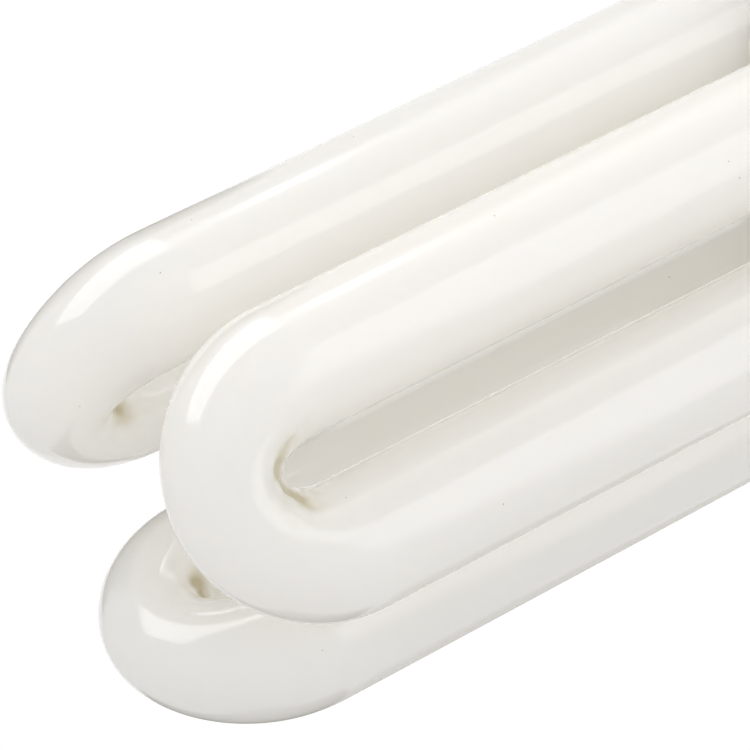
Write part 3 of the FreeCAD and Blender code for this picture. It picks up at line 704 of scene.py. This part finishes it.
# %% Finishes for the inner parts
inner_finishes = {
    "cement": finish_material(
        "lamp_cement", (0.70, 0.68, 0.61), (0.60, 0.58, 0.51), 0.9, 900.0, 0.15),
    "red_wire": finish_material(
        "red_insulation", (0.55, 0.035, 0.025), (0.48, 0.03, 0.02), 0.4, 1500.0, 0.02),
    "copper": finish_material(
        "enamelled_copper", (0.72, 0.30, 0.13), (0.62, 0.24, 0.10), 0.28, 1400.0, 0.03,
        metallic=1.0),
    "fuse_body": finish_material(
        "coated_resistor", (0.20, 0.27, 0.20), (0.16, 0.22, 0.16), 0.5, 1200.0, 0.04),
    "board": finish_material(
        "paper_laminate", (0.50, 0.32, 0.13), (0.42, 0.26, 0.10), 0.55, 1800.0, 0.04),
    "tinned": finish_material(
        "tinned_wire", (0.72, 0.72, 0.72), (0.62, 0.62, 0.63), 0.3, 1500.0, 0.02,
        metallic=1.0),
    "capacitor_sleeve": finish_material(
        "capacitor_sleeve", (0.018, 0.025, 0.05), (0.028, 0.036, 0.065), 0.3, 900.0, 0.02),
    "ferrite": finish_material(
        "sintered_ferrite", (0.055, 0.055, 0.058), (0.08, 0.078, 0.078), 0.6, 2200.0, 0.06),
    "bobbin": finish_material(
        "bobbin_moulding", (0.035, 0.035, 0.035), (0.05, 0.05, 0.05), 0.5, 1800.0, 0.03),
    "black_sleeve": finish_material(
        "shrunk_sleeve", (0.016, 0.016, 0.017), (0.026, 0.026, 0.027), 0.42, 800.0, 0.05),
    "black_mould": finish_material(
        "moulded_epoxy", (0.022, 0.022, 0.024), (0.034, 0.034, 0.036), 0.55, 2500.0, 0.03),
    "film_red": finish_material(
        "film_capacitor_box", (0.36, 0.055, 0.02), (0.30, 0.045, 0.018), 0.35, 900.0, 0.03),
    "chip": finish_material(
        "chip_resistor", (0.028, 0.028, 0.032), (0.045, 0.045, 0.05), 0.45, 2500.0, 0.02),
    "diac_glass": finish_material(
        "diac_glass", (0.40, 0.14, 0.06), (0.46, 0.18, 0.08), 0.12, 900.0, 0.01,
        coat=0.8),
}
slot_of = {row["node"]: row["material_slot"] for row in frame["record"]["subparts"]}
dressed = 0
for node, thing in frame["nodes"].items():
    finish = inner_finishes.get(slot_of.get(node))
    if finish is not None:
        thing.data.materials.clear()
        thing.data.materials.append(finish)
        dressed += 1
print("inner parts dressed:", dressed)

# %% [markdown]
# ## The wire hooked round the neck
#
# The neutral wire comes down inside the neck, turns under its foot and ends between the
# neck and the shell, which presses on it. The rolled thread comes closer to the neck
# than the plain CAD shell does, so the wire gets its own shape here, tight on the neck:
# a round section carried along a bent line.

# %% The neutral wire
WIRE_R = 0.3
OUTER_LEG_X = -11.64
OUTER_LEG_LENGTH = 5.5


def wire_rings(corners, bend=0.7, around=20, steps=9):
    """Rings along a line of (x, z) corners at y = 0. Each inner corner becomes the curve
    (1-t)^2 a + 2t(1-t) corner + t^2 b, with a and b at the bend's distance from it. A
    ring is centre + r (cos a normal + sin a y)."""
    p = np.array(corners, dtype=float)
    back, ahead = p[:-2] - p[1:-1], p[2:] - p[1:-1]
    a = p[1:-1] + bend * back / np.linalg.norm(back, axis=1)[:, None]
    b = p[1:-1] + bend * ahead / np.linalg.norm(ahead, axis=1)[:, None]
    t = np.linspace(0, 1, steps)[None, :, None]
    curve = (1 - t) ** 2 * a[:, None] + 2 * t * (1 - t) * p[1:-1][:, None] + t ** 2 * b[:, None]
    path = np.vstack([p[:1], curve.reshape(-1, 2), p[-1:]])
    way = np.gradient(path, axis=0)
    way /= np.linalg.norm(way, axis=1)[:, None]
    turn = np.linspace(0, 2 * math.pi, around, endpoint=False)
    x = path[:, :1] - WIRE_R * np.cos(turn) * way[:, 1:]
    z = path[:, 1:] + WIRE_R * np.cos(turn) * way[:, :1]
    y = WIRE_R * np.sin(turn) + 0 * x
    return np.stack([x, y, z], axis=-1)


wire_low, wire_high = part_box("neutral_wire")
inside_x = round(wire_high.x / MM, 3) - WIRE_R
foot_z = round(wire_low.z / MM, 3) + WIRE_R
neutral = skin("neutral_lead", wire_rings([
    (inside_x, wire_high.z / MM),
    (inside_x, foot_z),
    (OUTER_LEG_X, foot_z),
    (OUTER_LEG_X, foot_z + OUTER_LEG_LENGTH),
]))
neutral.data.materials.append(inner_finishes[slot_of["neutral_wire"]])
settle(neutral, slot_of["neutral_wire"], "neutral_wire")

# %% [markdown]
# ## Floor
#
# The lamp stands on a white floor that runs to the horizon. To the camera, and in the
# glass, the floor glows with almost the strength of white, and the light that falls on
# it adds the rest, so it is pure white where light reaches it and soft grey in the
# lamp's shadow. For all other light it is an ordinary pale floor.

# %% The floor
FLOOR_GAP = 0.05


def seeing_rays(nodes, links):
    """A socket that is 1 for camera, glossy and transmission rays and 0 for all others:
    the clamped sum of the three."""
    ray = nodes.new("ShaderNodeLightPath")
    total = ray.outputs["Is Camera Ray"]
    for kind in ("Is Glossy Ray", "Is Transmission Ray"):
        add = nodes.new("ShaderNodeMath")
        add.operation = "ADD"
        add.use_clamp = True
        links.new(total, add.inputs[0])
        links.new(ray.outputs[kind], add.inputs[1])
        total = add.outputs["Value"]
    return total


def floor_material():
    """Emission 0.86 plus a dark matt surface of 0.22 for camera, glossy and transmission
    rays, and a pale matt surface of 0.80 for all others."""
    mat = bpy.data.materials.new("studio_floor")
    mat.use_nodes = True
    nodes, links = mat.node_tree.nodes, mat.node_tree.links
    nodes.remove(nodes["Principled BSDF"])
    out = nodes["Material Output"]
    glow = nodes.new("ShaderNodeEmission")
    glow.inputs["Strength"].default_value = 0.86
    faint = nodes.new("ShaderNodeBsdfDiffuse")
    faint.inputs["Color"].default_value = (0.22, 0.22, 0.22, 1)
    both = nodes.new("ShaderNodeAddShader")
    plain = nodes.new("ShaderNodeBsdfDiffuse")
    plain.inputs["Color"].default_value = (0.80, 0.80, 0.79, 1)
    pick = nodes.new("ShaderNodeMixShader")
    links.new(glow.outputs["Emission"], both.inputs[0])
    links.new(faint.outputs["BSDF"], both.inputs[1])
    links.new(seeing_rays(nodes, links), pick.inputs["Fac"])
    links.new(plain.outputs["BSDF"], pick.inputs[1])
    links.new(both.outputs["Shader"], pick.inputs[2])
    links.new(pick.outputs["Shader"], out.inputs["Surface"])
    return mat


def floor_disc(radius=6.0, around=96):
    """One flat round face, radius (cos a, sin a) in metres, at FLOOR_GAP millimetres
    under the lamp."""
    a = np.linspace(0, 2 * math.pi, around, endpoint=False)
    level = np.full(around, -FLOOR_GAP * MM)
    rim = np.stack([radius * np.cos(a), radius * np.sin(a), level], axis=-1)
    mesh = bpy.data.meshes.new("floor")
    mesh.from_pydata(rim.tolist(), [], [list(range(around))])
    disc = bpy.data.objects.new("floor", mesh)
    scene.collection.objects.link(disc)
    return disc


floor = floor_disc()
floor.data.materials.append(floor_material())
print("floor ready")

# %% [markdown]
# ## Light
#
# White glass shows its form only by what it mirrors. In the photograph the tubes mirror
# a tall narrow soft box at the side, with a short bright foot and a soft glow below it,
# and a wide low panel in front with one crisp edge. They are area lamps here. What is
# mirrored and what gives light is kept apart: the strip, its foot and the glow are only
# mirrored, while two fills only give light, so that each can be matched by itself. A
# pale, slightly warm sky fills the rest, and shows pure white where it is seen or
# mirrored. Three matt cards that are only mirrored stand for the darker parts of the
# studio.

# %% The sky
world = bpy.data.worlds.new("pale_sky")
scene.world = world
world.use_nodes = True
sky_nodes, sky_links = world.node_tree.nodes, world.node_tree.links
sky = sky_nodes["Background"]
sky.inputs["Color"].default_value = (1.0, 0.986, 0.958, 1)
sky.inputs["Strength"].default_value = 0.68
bright = sky_nodes.new("ShaderNodeBackground")
bright.inputs["Strength"].default_value = 1.0
choice = sky_nodes.new("ShaderNodeMixShader")
sky_links.new(seeing_rays(sky_nodes, sky_links), choice.inputs["Fac"])
sky_links.new(sky.outputs["Background"], choice.inputs[1])
sky_links.new(bright.outputs["Background"], choice.inputs[2])
sky_links.new(choice.outputs["Shader"], sky_nodes["World Output"].inputs["Surface"])
print("sky ready")

# %% Lamps
from mathutils import Matrix, Vector


def soften(lamp, stops):
    """Grades the lamp's strength across its width, through a ramp with eased steps."""
    lamp.use_nodes = True
    nodes, links = lamp.node_tree.nodes, lamp.node_tree.links
    where = nodes.new("ShaderNodeNewGeometry")
    split = nodes.new("ShaderNodeSeparateXYZ")
    ramp = nodes.new("ShaderNodeValToRGB")
    ramp.color_ramp.interpolation = "EASE"
    while len(ramp.color_ramp.elements) < len(stops):
        ramp.color_ramp.elements.new(0.5)
    for element, (place, strength) in zip(ramp.color_ramp.elements, stops):
        element.position = place
        element.color = (strength, strength, strength, 1)
    links.new(where.outputs["Parametric"], split.inputs["Vector"])
    links.new(split.outputs["X"], ramp.inputs["Fac"])
    links.new(ramp.outputs["Color"], nodes["Emission"].inputs["Strength"])


def soft_box(name, centre, facing, up, width, height, radiance,
             stops=None, mirrored=True, lights=True, colour=(1, 1, 1)):
    """A rectangular area lamp at centre, shining along facing. An area lamp of power P
    shows the radiance P / (pi x area), so the power is worked out from the radiance.
    Stops are (place, strength) pairs across the width, for a box with soft sides. A box
    that is only mirrored lights nothing, and one that only lights isn't mirrored."""
    lamp = bpy.data.lights.new(name, "AREA")
    lamp.shape = "RECTANGLE"
    lamp.size, lamp.size_y = width, height
    lamp.energy = radiance * math.pi * width * height
    lamp.color = colour
    if stops:
        soften(lamp, stops)
    thing = bpy.data.objects.new(name, lamp)
    z = -Vector(facing).normalized()
    x = Vector(up).cross(z).normalized()
    y = z.cross(x)
    spot = Matrix((x, y, z)).transposed().to_4x4()
    spot.translation = Vector(centre)
    thing.matrix_world = spot
    thing.visible_camera = False
    thing.visible_glossy = mirrored
    thing.visible_diffuse = lights
    scene.collection.objects.link(thing)


TO_LAMP, UPWARDS, AWAY = (-1, 0, 0), (0, 0, 1), (1, 0, 0)
soft_box("side_strip", (0.250, 0.010, 0.217), TO_LAMP, UPWARDS, 0.170, 0.330, 3.0,
         lights=False)
soft_box("strip_foot", (0.250, -0.004, 0.016), TO_LAMP, UPWARDS, 0.060, 0.014, 3.4,
         lights=False)
soft_box("side_glow", (0.260, -0.060, 0.004), UPWARDS, AWAY, 0.280, 0.320, 1.35,
         stops=((0.0, 0.0), (0.70, 1.0), (1.0, 0.0)), lights=False)
soft_box("side_fill", (0.250, 0.010, 0.205), TO_LAMP, UPWARDS, 0.100, 0.340, 2.6,
         mirrored=False, colour=(1.0, 0.972, 0.925))
soft_box("front_panel", (-0.022, -0.245, 0.005), UPWARDS, (-0.33, 0.94, 0), 0.250, 0.230, 1.55,
         stops=((0.0, 1.0), (0.75, 1.0), (1.0, 0.15)))
soft_box("front_fill", (0.100, -0.400, 0.480), (-0.16, 0.70, -0.70), UPWARDS, 0.300, 0.300, 1.8,
         mirrored=False, colour=(1.0, 0.980, 0.945))


def mirror_card(name, corners, colour):
    """A matt card that is only mirrored: it is neither seen nor in the light's way. The
    corners are in metres."""
    mesh = bpy.data.meshes.new(name)
    mesh.from_pydata(corners, [], [tuple(range(len(corners)))])
    card = bpy.data.objects.new(name, mesh)
    scene.collection.objects.link(card)
    darker = tuple(0.9 * c for c in colour)
    card.data.materials.append(finish_material(name, colour, darker, 0.9, 300.0, 0.1))
    card.visible_camera = card.visible_diffuse = card.visible_shadow = False


def upright(bearing_from, bearing_to, distance, low, high):
    """Corners of an upright card in metres: two bearings in degrees at a distance from
    the lamp's axis, and a low and a high level."""
    bearings = (math.radians(bearing_from), math.radians(bearing_to))
    ends = [(distance * math.cos(b), distance * math.sin(b)) for b in bearings]
    return [(*ends[0], low), (*ends[1], low), (*ends[1], high), (*ends[0], high)]


mirror_card("side_card", upright(34, 82, 0.30, 0.0, 0.20), (0.20, 0.19, 0.15))
mirror_card("far_card", upright(121, 175, 0.06, 0.132, 0.168), (0.12, 0.11, 0.08))
mirror_card("floor_card", [
    (-0.30, 0.10, 0.001), (-0.10, 0.10, 0.001), (-0.10, 0.34, 0.001), (-0.30, 0.34, 0.001),
], (0.85, 0.84, 0.80))

# %% [markdown]
# ## Camera
#
# The photograph was taken from in front and above, through a long lens, with the camera
# rolled so that the tubes run across the picture. The place and turn below were fitted
# to the outlines of the three tubes: the camera's right, up and backward directions are
# the three columns of its matrix.

# %% The camera
SENSOR_MM = 36.0
PICTURE_PX = 750
FOCAL_PX = 5380.51

camera = bpy.data.objects.new("camera", bpy.data.cameras.new("camera"))
right = Vector((-0.38217, -0.47250, -0.79416)).normalized()
down = Vector((-0.91388, 0.06588, 0.40059))
back = -Vector((-0.13696, 0.87887, -0.45698)).normalized()
up = back.cross(right).normalized()
right = up.cross(back).normalized()
turn = Matrix((right, up, back)).transposed().to_4x4()
turn.translation = Vector((0.06685, -0.41644, 0.34855))
camera.matrix_world = turn
camera.data.sensor_width = SENSOR_MM
camera.data.lens = SENSOR_MM * FOCAL_PX / PICTURE_PX
camera.data.clip_start = 0.01
camera.data.clip_end = 30.0
scene.collection.objects.link(camera)
scene.camera = camera
scene.view_settings.view_transform = "Standard"
scene.cycles.diffuse_bounces = 12   # light goes to and fro between the white tubes
print("lens in mm:", round(camera.data.lens, 1))
print("up agrees with the fit:", round(up.dot(-down), 4))
